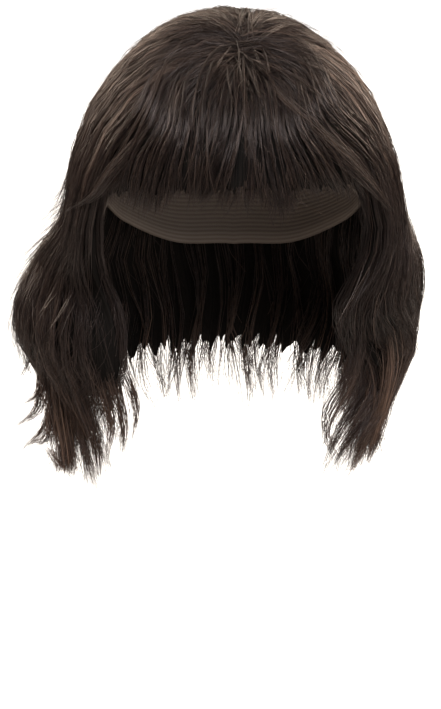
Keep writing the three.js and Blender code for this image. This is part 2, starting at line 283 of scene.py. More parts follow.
def tube_faces(count, points):
    """The corners of the tubes' faces and where each face starts: quads, then roots, then tips."""
    first = np.arange(count) * points * 3
    ring = first[:, None, None] + (np.arange(points - 1) * 3)[None, :, None]
    side = np.arange(3)
    after = (side + 1) % 3
    quads = np.stack([ring + side, ring + after, ring + 3 + after, ring + 3 + side], axis=-1)
    roots = first[:, None] + np.array([0, 2, 1])
    tips = first[:, None] + (points - 1) * 3 + np.array([0, 1, 2])
    corners = np.concatenate([quads.ravel(), roots.ravel(), tips.ravel()])
    quad_count = quads.size // 4
    starts = np.concatenate([np.arange(quad_count) * 4, quad_count * 4 + np.arange(2 * count) * 3])
    return corners.astype(np.int32), starts.astype(np.int32)


def tube_uvs(tones, ways):
    """The uv of each corner, in the order of tube_faces: a strand's tone across, its way up."""
    every_side = (len(tones), ways.shape[1] - 1, 3)
    strips = tones[:, None, None] * (1 - TONE_STRIP) + TONE_STRIP * np.arange(3) / 3
    u_low = np.broadcast_to(strips, every_side)
    u_high = u_low + TONE_STRIP / 3
    v_low = np.broadcast_to(ways[:, :-1, None], every_side)
    v_high = np.broadcast_to(ways[:, 1:, None], every_side)
    quads = np.stack([np.stack([u_low, v_low], -1), np.stack([u_high, v_low], -1),
                      np.stack([u_high, v_high], -1), np.stack([u_low, v_high], -1)], axis=3)
    end_u = (tones * (1 - TONE_STRIP))[:, None] + TONE_STRIP * np.array([0.0, 0.5, 1.0])
    end_v = np.array([0.0, END_STRIP, 0.0])
    roots = np.stack([end_u, ways[:, :1] + end_v], -1)
    tips = np.stack([end_u, ways[:, -1:] - end_v], -1)
    return np.concatenate([quads.ravel(), roots.ravel(), tips.ravel()]).astype(np.float32)


def strand_piece(name, node, material, paths, radii, tones, ways=None):
    """Joins strands into one mesh of fine three-sided tubes. paths is strands x points x 3.

    The tones go to u, and the ways, which run from 0 at the parting to 1 at the tips, to v."""
    count, points = paths.shape[:2]
    if ways is None:
        ways = np.broadcast_to(np.linspace(0, 1, points), (count, points))
    ahead = np.gradient(paths, axis=1)
    ahead /= np.linalg.norm(ahead, axis=2, keepdims=True) + TINY
    across = np.cross(ahead, paths - (0, 0, -CAP_HEIGHT))
    across /= np.linalg.norm(across, axis=2, keepdims=True) + TINY
    over = np.cross(ahead, across)
    roll = STRAND_ROLL * np.sin(2.4 * np.arange(count))
    turns = (2 * math.pi * np.arange(3) / 3 - math.pi / 2 + roll[:, None])[:, None, :, None]
    ring = across[:, :, None] * np.cos(turns) + over[:, :, None] * np.sin(turns)
    vertices = paths[:, :, None] + radii[:, :, None, None] * ring
    corners, starts = tube_faces(count, points)

    mesh = bpy.data.meshes.new(name)
    mesh.vertices.add(vertices.size // 3)
    mesh.loops.add(len(corners))
    mesh.polygons.add(len(starts))
    mesh.loops.foreach_set("vertex_index", corners)
    mesh.polygons.foreach_set("loop_start", starts)
    millimetres(mesh, vertices.reshape(-1, 3))
    mesh.update(calc_edges=True)
    mesh.uv_layers.new(name="OFBake").data.foreach_set("uv", tube_uvs(tones, ways))
    mesh.shade_smooth()
    piece = bpy.data.objects.new(name, mesh)
    bpy.context.scene.collection.objects.link(piece)
    finish_piece(piece, node, material)


def strand_radii(rng, count, points, thickest, taper_from):
    """Half widths along each strand: finer at the root, and drawn out at the tip."""
    down = np.linspace(0, 1, points)
    profile = lerp(0.7, 1, smooth(down, 0, 0.25)) * lerp(1, 0.22, smooth(down, taper_from, 1))
    return thickest * rng.uniform(0.7, 1.25, count)[:, None] * profile


def frizz(rng, count, points, size):
    """A smooth wander for each strand that grows from root to tip, in the unit of its size."""
    down = np.linspace(0, 1, points)
    wander = np.zeros((count, points))
    for waves, share in FRIZZ_WAVES:
        phase = rng.uniform(0, 2 * math.pi, count)[:, None]
        pace = waves * rng.uniform(0.7, 1.4, count)[:, None]
        wander += share * np.sin(2 * math.pi * pace * down + phase)
    return wander * size * lerp(0.3, 1, down)


def per_strand(values, tress):
    """The values of the tresses as a column with a row for each strand."""
    return values[tress][:, None]


def in_bundle(rng, tress, tresses, thickest):
    """Where each strand lies in the round bundle of its tress, aside and outwards."""
    count = len(tress)
    half = thickest * rng.uniform(0.55, 1.0, tresses)[tress] * np.sqrt(rng.random(count))
    half = np.where(rng.random(count) < 0.12, half * rng.uniform(1.3, 2.4, count), half)
    turn = rng.uniform(0, 2 * math.pi, count)
    return half * np.cos(turn), half * np.sin(turn)


def root_scatter(rng, tress, tresses):
    """How far from the parting each tress is knotted, sideways and forwards, in radians."""
    spots = rng.normal(0, 1, (2, tresses)) * np.array(ROOT_SPREAD)[:, None]
    return per_strand(spots[0], tress), per_strand(spots[1], tress)


def tress_tones(rng, tress, tresses, tress_spread=0.1, strand_spread=0.18):
    """A tone from 0, dark, to 1, light, for each strand. Those of a tress are alike."""
    tones = MIDDLE_TONE + rng.normal(0, tress_spread, tresses)[tress]
    tones += rng.normal(0, strand_spread, len(tress))
    light = rng.random(len(tress)) < 0.06
    return np.clip(np.where(light, tones + 0.35, tones), DARKEST_TONE, LIGHTEST_TONE)


# The finish of every strand: its tone, brightened by a lift, and a gloss that grows down it.
strand_finish = bpy.data.node_groups.new("strand_finish", "ShaderNodeTree")
for socket, side, kind in (
        ("Tone", "INPUT", "Float"), ("Way", "INPUT", "Float"), ("Lift", "INPUT", "Color"),
        ("Colour", "OUTPUT", "Color"), ("Roughness", "OUTPUT", "Float")):
    strand_finish.interface.new_socket(socket, in_out=side, socket_type=f"NodeSocket{kind}")
given = strand_finish.nodes.new("NodeGroupInput")
result = strand_finish.nodes.new("NodeGroupOutput")
tone = add_node(strand_finish, "ValToRGB")
set_stops(tone, [(0.0, STRAND_DARK), (0.5, STRAND_BROWN), (1.0, STRAND_LIGHT)])
lifted = add_node(strand_finish, "Mix", data_type="RGBA", blend_type="MULTIPLY", Factor=1.0)
dull = add_node(strand_finish, "MapRange", From_Max=0.4, To_Min=0.9, To_Max=0.28)
link(given, "Tone", tone, "Fac")
link(tone, "Color", lifted, "A")
link(given, "Lift", lifted, "B")
link(lifted, "Result", result, "Colour")
link(given, "Way", dull, "Value")
link(dull, "Result", result, "Roughness")


def hair_material(name, lifts):
    """Dark brown hair. The lifts, as (way, shade), say how bright it is from root to tip."""
    material, tree, shader = new_material(name)
    uv = add_node(tree, "UVMap", uv_map="OFBake")
    axes = add_node(tree, "SeparateXYZ")
    lift = add_node(tree, "ValToRGB")
    set_stops(lift, [(way, (shade, shade ** 0.93, shade ** 0.85, 1)) for way, shade in lifts])
    finish = add_node(tree, "Group", node_tree=strand_finish)
    link(uv, "UV", axes, "Vector")
    link(axes, "Y", lift, "Fac")
    link(axes, "X", finish, "Tone")
    link(axes, "Y", finish, "Way")
    link(lift, "Color", finish, "Lift")
    link(finish, "Colour", shader, "Base Color")
    link(finish, "Roughness", shader, "Roughness")
    set_up(shader, Specular_IOR_Level=0.42, Specular_Tint=(1.0, 0.85, 0.82, 1))
    return material


short_hair = hair_material("hair_short", SHORT_HAIR_LIFTS)

# The dense inside of the hair, under the strands. Its near-black colour is painted shade, the shade
# deep inside the hair.
dense_hair_in_painted_shade, tree, shader = new_material("hair_mass_in_painted_shade")
uv = add_node(tree, "UVMap", uv_map="OFBake")
stretch = add_node(tree, "Mapping", Scale=STREAK_SCALE)
streaks = add_node(tree, "TexNoise", noise_dimensions="2D", Scale=1.0, Detail=3.0)
tone = add_node(tree, "ValToRGB")
set_stops(tone, [(0.3, MASS_DARK), (0.75, MASS_LIGHT)])
bump = add_node(tree, "Bump", Strength=0.6, Distance=0.001)
link(uv, "UV", stretch, "Vector")
link(stretch, "Vector", streaks, "Vector")
link(streaks, "Fac", tone, "Fac")
link(tone, "Color", shader, "Base Color")
link(streaks, "Fac", bump, "Height")
link(bump, "Normal", shader, "Normal")
set_up(shader, Roughness=0.75, Specular_IOR_Level=0.1)


def finish_mass(piece, node, thickness):
    """Gives a bent grid its wall, inwards, and the finish of dense hair, which is dark with painted
    shade.
    """
    share = piece.vertex_groups.new(name="wall")
    for vertex, value in enumerate(thickness / thickness.max()):
        share.add([vertex], float(value), "REPLACE")
    wall = piece.modifiers.new("wall", "SOLIDIFY")
    wall.thickness = float(thickness.max()) / 1000
    wall.offset = -1
    wall.vertex_group = "wall"
    apply_modifiers(piece)
    finish_piece(piece, node, dense_hair_in_painted_shade)


def crown_shape(across, down):
    """The dense inside of the crown hair, which lies close to the cap at the parting."""
    along = CROWN_END * down
    full = MASS_FILL * dome_thickness(along) * smooth(along, -0.08, 0.12)
    return combed(360 * across, along, CAP_WALL + 0.4 + full + 0.9 * smooth(along, 0, CROWN_END))


crown, _, _ = grid_piece("crown_mass", columns=60, rows=12, shape=crown_shape)
merge_doubles(crown, distance=2e-4)
finish_mass(crown, "crown_hair", np.full(len(crown.data.vertices), CROWN_MASS_WALL))

rng = np.random.default_rng(CROWN_SEED)
tresses, count, points = 280, 1400, 9
tress = np.arange(count) % tresses
tress_azimuth = rng.uniform(-180, 180, tresses)
aside, outwards = in_bundle(rng, tress, tresses, 1.5)
root = per_strand(rng.uniform(-0.07, 0.1, tresses), tress)
root += rng.normal(0, 0.02, count)[:, None]
reach = rng.uniform(0.2, 0.5, count)[:, None]
along = root + reach * np.linspace(0, 1, points)
swirl = per_strand(rng.normal(0, 7, tresses), tress) * (1 - smooth(along, 0, 0.35))
azimuth = per_strand(tress_azimuth, tress) + 2 * aside[:, None] + swirl
azimuth += frizz(rng, count, points, 1.4)
layer = per_strand(rng.uniform(0.7, 1.05, tresses), tress)
height = HAIR_INSIDE + layer * dome_thickness(along) + 0.6 * outwards[:, None]
height += frizz(rng, count, points, 0.5)
height = lerp(ROOT_HEIGHT, height, smooth(along, root, root + ROOT_RISE))
paths = combed(azimuth, along, height, root_scatter(rng, tress, tresses))
radii = strand_radii(rng, count, points, thickest=0.16, taper_from=0.5)
tones = tress_tones(rng, tress, tresses, tress_spread=0.07, strand_spread=0.22)
strand_piece("crown_strands", "crown_hair", short_hair, paths, radii, tones)


# The fringe
# The front hair is combed straight forward from the parting and cut to one level line.
# It is thickest half way down, turns under towards the hem, and ends in fine points.
FRINGE_TABLE = np.array([  # azimuth, drop of the hem, thickness at half its length
    (-62, 87, 13), (-32, 76, 13), (0, 72, 12), (32, 74, 13), (62, 81, 13),
], float)
FRINGE_SWEEP = np.array([  # azimuth at the root, how far the hair there drifts by the hem
    (-62, -14), (-45, -4), (-30, -1), (-18, 3), (-8, -9), (0, -9), (6, 0),
    (20, 7), (35, 15), (50, 20), (62, 20),
], float)
FRINGE_TIPS = np.array([  # azimuth at the hem, how far below its line the tips reach
    (-62, -6), (-50, -3), (-36, 4), (-24, -3), (-12, -2), (0, 4), (9, 1),
    (20, 7), (33, -3), (45, -4), (62, -2),
], float)
FRINGE_HEM_THICKNESS = 4.0
FRINGE_EDGE = 62.0  # the azimuth where it meets the long hair on either side
FRINGE_PARTING_WIDTH = 0.13  # how far aside its outer roots are knotted, in radians
FRINGE_SEED = 23
FRINGE_LOCK = 6.5  # the width of a lock, in degrees
LOWEST_TIP = 97.0
LOWEST_HEIGHT = 1.7  # keeps the strands clear of the cap's wall


def along_at_drop(azimuth, drop):
    """How far along the way from the parting hair has come down by a drop."""
    low = np.zeros_like(drop)
    high = np.ones_like(drop)
    for _ in range(24):
        middle = (low + high) / 2
        short = -combed(azimuth, middle, HAIR_INSIDE)[..., 2] < drop
        low = np.where(short, middle, low)
        high = np.where(short, high, middle)
    return low


def fringe_thickness(azimuth, along, hem):
    """The fringe's thickness, which swells to the middle and tapers to the hem."""
    share = np.clip((along - CROWN_END) / (hem - CROWN_END), 0, 1)
    swell = lerp(dome_thickness(np.minimum(along, CROWN_END)), table_at(FRINGE_TABLE, azimuth)[1],
                 smooth(share, 0, 0.5))
    return lerp(swell, FRINGE_HEM_THICKNESS, smooth(share, 0.45, 1))


def ragged_edge(azimuth, pace, depth):
    """A jagged line of lock tips round the cap, from 0 to depth."""
    place = azimuth * pace + 0.3 * np.sin(azimuth * 0.21) + 0.4 * np.sin(azimuth * 0.083)
    saw = np.abs(place % 2 - 1)
    return depth * (0.6 * saw + 0.4 * (0.5 + 0.5 * np.sin(azimuth * pace * 1.37)))


def spread_tresses(rng, start, end, spacing, rows, each):
    """Tresses over a span of azimuths in rows from the inside out, and each strand's tress."""
    across = round((end - start) / spacing)
    row = np.repeat(np.arange(rows), across)
    place = np.tile(np.arange(across) + 0.5, rows) + 0.5 * (row % 2 - 0.5)
    azimuth = start + spacing * (place + rng.normal(0, 0.3, len(row)))
    layer = (row + rng.uniform(0, 1, len(row))) / rows
    return np.clip(azimuth, start, end), layer, np.repeat(np.arange(len(row)), each)


def sewn_roots(rng, tress, tress_layer, spread, higher, lowest):
    """How far along the way each strand is sewn. The inner layers are sewn lower down."""
    root = spread * (1 - tress_layer) ** 1.3 + rng.uniform(higher, 0.1, len(tress_layer))
    return np.clip(root[tress] + rng.normal(0, 0.02, len(tress)), -0.08, lowest)[:, None]


def for_a_few(rng, count, share, least, most):
    """A random amount for a share of the strands, and 0 for the others."""
    return np.where(rng.random(count) < share, rng.uniform(least, most, count), 0)


def fringe_shape(across, down):
    """The dense inside of the fringe, which stops short of its ragged hem."""
    azimuth = lerp(2 - FRINGE_EDGE, FRINGE_EDGE - 2, across)
    hem = along_at_drop(azimuth, table_at(FRINGE_TABLE, azimuth)[0])
    along = lerp(CROWN_END, hem - 0.02 - ragged_edge(azimuth, 0.7, 0.05), down)
    return combed(azimuth, along, HAIR_INSIDE + MASS_FILL * fringe_thickness(azimuth, along, hem))


fringe, _, down = grid_piece("fringe_mass", columns=110, rows=16, shape=fringe_shape)
finish_mass(fringe, "fringe", lerp(3.5, 0.8, smooth(down, 0.6, 1)))

rng = np.random.default_rng(FRINGE_SEED)
tress_azimuth, tress_layer, tress = spread_tresses(
    rng, -FRINGE_EDGE, FRINGE_EDGE, spacing=1.7, rows=4, each=12)
tresses, count, points = len(tress_azimuth), len(tress), 10
aside, outwards = in_bundle(rng, tress, tresses, 1.3)
lock = np.round(tress_azimuth / FRINGE_LOCK + rng.normal(0, 0.25, tresses)) * FRINGE_LOCK

# Roots and tips: the tips keep to the ragged hem.
root = sewn_roots(rng, tress, tress_layer, spread=0.75, higher=-0.12, lowest=0.7)
aim = tress_azimuth[tress]
drift = table_at(FRINGE_SWEEP, tress_azimuth)[0] + rng.normal(0, 1.8, tresses)
end = np.clip(aim + drift[tress], -FRINGE_EDGE, FRINGE_EDGE)
turn_under = per_strand(rng.uniform(-0.1, 0.1, tresses), tress)
hem_line = table_at(FRINGE_TABLE, end)[0]
tip_drop = hem_line + table_at(FRINGE_TIPS, end)[0] + rng.normal(0, 1.6, tresses)[tress]
tip_drop += rng.normal(0, 2.0, count)
tip_drop -= for_a_few(rng, count, 0.15, 4, 30)
tip_drop += for_a_few(rng, count, 0.1, 1, 9)
tip = along_at_drop(end, np.minimum(tip_drop, LOWEST_TIP))[:, None]
full_hem = along_at_drop(end, hem_line)[:, None]

# The way down: it arches out from the parting, drifts with the sweep and gathers into locks.
down = np.linspace(0, 1, points)
along = lerp(root, tip, down)
swirl = per_strand(rng.normal(0, 7, tresses), tress) * (1 - smooth(along, 0, 0.35))
sweep = per_strand(drift, tress) * smooth(along, 0.35, 0.92)
hook = rng.normal(0, 2.5, tresses)[tress] + rng.normal(0, 1.5, count)
bundle = lerp(2.4, 0.8, smooth(down, 0.05, 0.8))
arch = lerp(1.8, 1, smooth(along, 0, 0.55))
way = aim[:, None] * arch + swirl + sweep + 0.6 * aside[:, None] * bundle
way += frizz(rng, count, points, 0.4)
way += frizz(rng, tresses, points, 0.6)[tress]
way += hook[:, None] * smooth(down, 0.6, 1.1) ** 2
gather = (lock - tress_azimuth) * rng.uniform(0.1, 0.6, tresses)
way += per_strand(gather, tress) * smooth(down, 0.3, 1)

thick = fringe_thickness(np.clip(way, -FRINGE_EDGE, FRINGE_EDGE), along + turn_under, full_hem)
thick = lerp(thick, dome_thickness(along), smooth(np.abs(way), 50, 66))
height = HAIR_INSIDE + 1.04 * per_strand(tress_layer, tress) * thick + 0.8 * outwards[:, None]
height = lerp(ROOT_HEIGHT, height, smooth(along, root, root + ROOT_RISE))
height = np.maximum(height + frizz(rng, count, points, 0.4), LOWEST_HEIGHT)
aside_root, forward_root = root_scatter(rng, tress, tresses)
aside_root += FRINGE_PARTING_WIDTH * np.clip(aim / 30, -1, 1)[:, None]
paths = combed(way, along, height, (aside_root, forward_root))
radii = strand_radii(rng, count, points, thickest=0.165, taper_from=0.85)
tones = tress_tones(rng, tress, tresses, tress_spread=0.05, strand_spread=0.25)
# Inside the fringe every third strand is left out.
shown = (tress_layer[tress] > 0.35) | (np.arange(count) % 3 > 0)
strand_piece("fringe_strands", "fringe", short_hair, paths[shown], radii[shown], tones[shown])


# The long hair on the wearer's right
# Long hair is sewn to the cap in rows, runs over it from the parting and hangs free below its rim.
# On this side it bulges, waves on its way down, parts into locks and flicks outwards at the hem.
LENGTHS = np.array([  # azimuth, drop of hem and belly, reach of belly and hem, thickness of both
    (-180, 250, 155, -10, -14, 25, 10), (-150, 250, 158, -7, -10, 25, 10),
    (-128, 252, 158, 12, 8, 21, 9), (-108, 255, 156, 25, 18, 20, 8),
    (-90, 256, 155, 27, 17, 20, 8), (-75, 248, 158, 11, 0, 20, 8),
    (-62, 224, 164, -8, -23, 16, 8), (62, 230, 154, -12, -22, 16, 8),
    (75, 250, 150, 3, -10, 18, 8), (90, 248, 145, 14, -2, 18, 8),
    (108, 248, 148, 12, -3, 20, 8), (128, 248, 152, 2, -5, 22, 9),
    (150, 250, 158, -8, -11, 25, 10), (180, 250, 155, -10, -14, 25, 10),
], float)
WAVE_LENGTH = 92.0
WAVE_OUT = 3.5
WAVE_ASIDE = 8.0
WAVE_ASIDE_BACK = 4.0
WAVE_PHASE = -60.0
WAVE_LEAN = 1.7  # how far the wave shifts for each degree round the cap
WAY_DOWN = 140.0  # from the parting to the cap's widest level
HAIR_LENGTH = 300.0  # from the parting to the lowest tips
LONG_ROOT_HEIGHT = 1.8
LONG_ROOT_RISE = 0.1
OVER_POINTS, FALL_POINTS = 6, 9  # of a strand, above and below that level
LONG_POINTS = OVER_POINTS + FALL_POINTS
LOCK_SPAN = 8.0  # degrees of a section for every two locks
LINING = 0.3  # the inner share of the layers, which lines a section
CLEAR_OF_CAP = 0.06  # the innermost layer that stays clear of the cap
FEATHER_FROM = 105.0  # the azimuth from which the layered hair thins out
FEATHER = 0.05
STRAY_ROOT_DEPTH = 11.0
# The lift at 0.22, over the sides of the crown, is a painted warm rim light. The lighter tips are
# partly sun-bleached ends and partly painted light from the white surroundings.
LONG_HAIR_LIFTS_WITH_PAINTED_LIGHT = [(0.0, 0.8), (0.22, 2.2), (0.48, 0.9), (0.72, 1.3), (0.9, 3.4), (1.0, 4.0)]
SWEEP_RIGHT = np.array([  # drop, the azimuth that the outer hair leans to there, how strongly
    (90, -85, 0.0), (120, -88, 0.25), (155, -95, 0.45), (175, -95, 0.45), (200, -86, 0.45),
    (230, -76, 0.5), (260, -72, 0.5),
], float)
STRAY_LOCKS_RIGHT = [  # strands, half width at the root, change of tone, three points on the way
    (60, 6, 0.0, [(-108, -4, -190), (-113, -7, -220), (-126, -10, -231)]),
    (50, 5, 0.1, [(-101, -10, -207), (-110, -10, -231), (-124, -12, -246)]),
    (50, 5, 0.1, [(-106, -12, -188), (-112, -14, -208), (-122, -14, -216)]),
    (50, 5, 0.05, [(-103, -12, -210), (-108, -14, -236), (-118, -14, -240)]),
    (30, 4, 0.0, [(-115, -2, -172), (-118, -4, -190), (-125, -6, -206)]),
    (60, 7, 0.0, [(-104, -14, -195), (-103, -16, -224), (-107, -16, -242)]),
    (130, 9, 0.05, [(-102, -12, -202), (-96, -18, -252), (-109, -18, -241)]),
    (90, 7, 0.0, [(-90, -29, -196), (-80, -30, -230), (-78, -30, -255)]),
    (60, 5, 0.0, [(-76, -36, -186), (-70, -36, -218), (-72, -36, -240)]),
    (80, 6, 0.0, [(-71, -40, -184), (-64, -40, -216), (-64, -38, -239)]),
    (40, 4, 0.0, [(-65, -42, -178), (-56, -42, -206), (-58, -40, -230)]),
    (45, 6, 0.0, [(-63, -69, -59), (-77, -61, -79), (-94, -30, -96)]),
]


def fall_at(azimuth, drop):
    """How far out the hair's inner face hangs, and its thickness, below the cap's widest level."""
    hem, belly, belly_reach, hem_reach, belly_thick, hem_thick = table_at(LENGTHS, wrapped(azimuth))
    to_belly = smooth(drop, CAP_HEIGHT, belly)
    to_hem = smooth(drop, belly, hem)
    free = lerp(lerp(HAIR_INSIDE, belly_reach, to_belly), hem_reach, to_hem)
    narrowing = 1 - np.sqrt(np.maximum(1 - ((drop - CAP_HEIGHT) / CAP_HEIGHT) ** 2, 0))
    rim = table_at(CAP_RIM, np.abs(wrapped(azimuth)))[0]
    over_cap = HAIR_INSIDE - CAP_HALF_WIDTH * narrowing
    reach = np.maximum(free, lerp(over_cap, free, smooth(drop - rim, 0, 20)))
    return reach, lerp(lerp(RIM_THICKNESS, belly_thick, to_belly), hem_thick, to_hem)


def wave_at(azimuth, drop, phase=0.0):
    """The wave outwards in millimetres and round the cap in degrees."""
    depth = smooth(drop, CAP_HEIGHT, 1.5 * CAP_HEIGHT)
    lean = np.radians(WAVE_PHASE + WAVE_LEAN * np.abs(wrapped(azimuth)))
    turn = 2 * math.pi * (drop - CAP_HEIGHT) / WAVE_LENGTH + lean + phase
    size = lerp(WAVE_ASIDE, WAVE_ASIDE_BACK, smooth(np.abs(wrapped(azimuth)), 105, 150))
    aside = np.degrees(size * np.cos(turn) / CAP_HALF_LENGTH)
    return WAVE_OUT * depth * np.sin(turn), aside * depth


def hanging(azimuth, drop, reach):
    """Points at a drop that reach out from the line straight below the cap's widest level."""
    angle = np.radians(azimuth)
    return np.stack([(CAP_HALF_WIDTH + reach) * np.sin(angle),
                     -(CAP_HALF_LENGTH + reach) * np.cos(angle), -drop], axis=-1)


def fallen(azimuth, travel, layer, root, phase=0.0, scatter=(0.0, 0.0)):
    """Points of long hair at a travel, which is the distance from the parting.

    Its layer is 0 on the hair's inner face and 1 on its outer face."""
    along = np.minimum(travel / WAY_DOWN, 1)
    drop = CAP_HEIGHT + np.maximum(travel - WAY_DOWN, 0)
    height = lerp(LONG_ROOT_HEIGHT, HAIR_INSIDE + layer * dome_thickness(along),
                  smooth(along, root, root + LONG_ROOT_RISE))
    over = combed(azimuth, along, height, scatter)
    reach, thick = fall_at(azimuth, drop)
    out, aside = wave_at(azimuth, drop, phase)
    below = hanging(azimuth + aside, drop, reach + out + layer * thick)
    return np.where((travel < WAY_DOWN)[..., None], over, below)


def swept(way, travel, table, loose):
    """Azimuths drawn to the sweep of their side as far as the strands are loose."""
    drop = np.clip(CAP_HEIGHT + travel - WAY_DOWN, table[0, 0], table[-1, 0])
    centre, pull = table_at(table, drop)
    return lerp(way, centre, pull * loose)


def pushed(paths, push):
    """Strands moved level and away from the middle of the cap by the push at each point."""
    level = paths * (1, 1, 0)
    outward = level / (np.linalg.norm(level, axis=2, keepdims=True) + TINY)
    return paths + outward * push[:, :, None]


def long_mass(name, node, start, end, sweep=None, inner=0.0, fill=MASS_FILL):
    """The dense inside of a section of long hair, which stops short of its ragged hem."""

    def hang(across, down):
        azimuth = lerp(start, end, across)
        hem = table_at(LENGTHS, wrapped(azimuth))[0] - 30 - ragged_edge(azimuth, 0.5, 18)
        travel = lerp(CROWN_END * WAY_DOWN, WAY_DOWN + hem - CAP_HEIGHT, down)
        if sweep is not None:
            azimuth = swept(azimuth, travel, sweep, inner * (1 - smooth(np.abs(azimuth), 75, 105)))
        return azimuth, travel

    def shape(across, down):
        azimuth, travel = hang(across, down)
        return fallen(azimuth, travel, lerp(fill, 0.45, smooth(down, 0.6, 1)), 0.0)

    piece, across, down = grid_piece(name, columns=64, rows=30, shape=shape)
    azimuth, travel = hang(across, down)
    drop = CAP_HEIGHT + np.maximum(travel - WAY_DOWN, 0)
    thick = np.where(travel < WAY_DOWN, dome_thickness(np.minimum(travel / WAY_DOWN, 1)),
                     fall_at(azimuth, drop)[1])
    finish_mass(piece, node, np.maximum(0.42 * thick * lerp(1, 0.1, smooth(down, 0.6, 1)), 0.6))


def long_locks(rng, start, end, tress_azimuth, tress_layer, ragged, turn):
    """The lock that each tress of a section belongs to, and what its hair does near the tip."""
    tresses = len(tress_azimuth)
    locks = 2 * round((end - start) / LOCK_SPAN)
    centre = rng.uniform(start + 2, end - 2, locks)
    layer = rng.uniform(0.2, 0.65, locks)
    apart = np.abs(tress_azimuth[:, None] - centre) + 9 * np.abs(tress_layer[:, None] - layer)
    lock = apart.argmin(axis=1)

    def alike(middle, lock_spread, tress_spread):
        """A value for each tress that is alike within a lock."""
        return rng.normal(middle, lock_spread, locks)[lock] + rng.normal(0, tress_spread, tresses)

    return {
        "centre": centre[lock],
        "layer": layer[lock],
        "longer": alike(0, ragged, 4),
        "gather": rng.uniform(0.2, 0.6, locks)[lock],
        "phase": alike(0, 0.4, 0.2),
        "flick": alike(2, 5, 4),
        "turn": alike(turn, 6, 4),
    }


def long_strands(name, node, start, end, seed, spacing, rows, each, ragged,
                 sweep=None, inner=0.0, turn=0.0, fill=1.0, crimp=1.1, skin=LINING,
                 tress_spread=0.1, strand_spread=0.18, lightest=LIGHTEST_TONE):
    """A section of long hair, strand by strand, drawn together into locks towards the hem.

    The outer hair follows the sweep, and the inner hair follows it as far as inner says. The
    layers outside the lining start at skin, and fill is how full they are over the cap."""
    rng = np.random.default_rng(seed)
    tress_azimuth, tress_layer, tress = spread_tresses(rng, start, end, spacing, rows, each)
    beyond = (tress_layer - LINING) / (1 - LINING)
    tress_layer = np.where(tress_layer < LINING, tress_layer, lerp(skin, 1, beyond))
    # Deep inside, every second strand is left out.
    in_sight = (tress_layer > 0.4) | (np.abs(tress_azimuth) < 78)
    tress = tress[in_sight[tress] | (np.arange(len(tress)) % 2 == 0)]
    tresses, count = len(tress_azimuth), len(tress)
    locks = long_locks(rng, start, end, tress_azimuth, tress_layer, ragged, turn)

    # Roots and tips: some strands end early.
    aside, outwards = in_bundle(rng, tress, tresses, 1.7)
    root = sewn_roots(rng, tress, tress_layer, spread=0.9, higher=-0.14, lowest=0.88)
    aim = tress_azimuth[tress]
    hem = table_at(LENGTHS, wrapped(aim))[0] + locks["longer"][tress]
    hem -= np.abs(rng.normal(0, 7, count))
    hem = (hem - for_a_few(rng, count, 0.18, 10, 80))[:, None]
    over = np.linspace(0, 1, OVER_POINTS, endpoint=False)
    fall = np.linspace(0, 1, FALL_POINTS)
    travel = np.concatenate([lerp(root * WAY_DOWN, WAY_DOWN, over),
                             WAY_DOWN + fall * (hem - CAP_HEIGHT)], axis=1)
    tip = WAY_DOWN + hem - CAP_HEIGHT
    down = smooth(travel, WAY_DOWN - 30, tip)
    near_tip = smooth(travel, tip - 60, tip + 5)

    # The way round the cap: it swirls at the root, gathers into locks, and turns at the tip.
    swirl = per_strand(rng.normal(0, 10, tresses), tress) * (1 - smooth(travel, 0, 50))
    way = aim[:, None] + swirl + 0.55 * aside[:, None] * lerp(2.4, 0.8, down)
    way += frizz(rng, count, LONG_POINTS, crimp)
    way += frizz(rng, tresses, LONG_POINTS, 2.0)[tress] * smooth(travel, 30, 160)
    way += per_strand((locks["centre"] - tress_azimuth) * locks["gather"], tress) * down
    way += per_strand(locks["turn"], tress) * near_tip ** 2
    if sweep is not None:
        in_front = 1 - smooth(np.abs(tress_azimuth), 95, 122)
        loose = lerp(inner, 1, smooth(tress_layer, 0.3, 0.65)) * in_front
        loose *= rng.uniform(0.5, 1.15, tresses)
        way = swept(way, travel, sweep, per_strand(loose, tress))

    # The layer on the way: it nears its lock's own at the tip, and sinks between the locks.
    layer = 1.03 * per_strand(tress_layer, tress) * lerp(fill, 1, smooth(travel, 70, 150))
    layer += per_strand(locks["layer"] - tress_layer, tress) * 0.75 * near_tip
    layer += per_strand(rng.normal(0, 0.06, tresses), tress) * smooth(travel, 20, 90)
    off_crest = np.minimum(np.abs(tress_azimuth - locks["centre"]) / 5, 1.2)
    layer -= per_strand(0.16 * off_crest ** 2 * tress_layer, tress) * smooth(travel, 40, 170)
    layer = np.maximum(layer, CLEAR_OF_CAP)
    phase = per_strand(locks["phase"], tress) * down
    paths = fallen(way, travel, layer, root, phase, root_scatter(rng, tress, tresses))
    push = per_strand(locks["flick"], tress) * near_tip ** 2
    push += 0.9 * outwards[:, None] * smooth(travel, 10, 60)
    push += frizz(rng, count, LONG_POINTS, 0.9) * smooth(travel, 20, 120)
    paths = pushed(paths, push)

    radii = strand_radii(rng, count, LONG_POINTS, thickest=0.18, taper_from=0.82)
    tones = tress_tones(rng, tress, tresses, tress_spread, strand_spread)
    # Painted shade: the hair that ends at the front edge, next to the fringe, is darker, as if it lay
    # in the fringe's shade.
    from_edge = np.abs(np.abs(wrapped(way[:, -1])) - FRINGE_EDGE)
    tones = np.clip(tones - 0.2 * (1 - smooth(from_edge, 2, 12)), DARKEST_TONE, lightest)
    strand_piece(name, node, long_hair, paths, radii, tones, travel / HAIR_LENGTH)


def feathered(azimuth):
    """Thins hair out towards the back, so that no edge shows."""
    past = np.maximum(np.abs(azimuth) - FEATHER_FROM, 0)
    return azimuth + np.sign(azimuth) * FEATHER * past ** 2


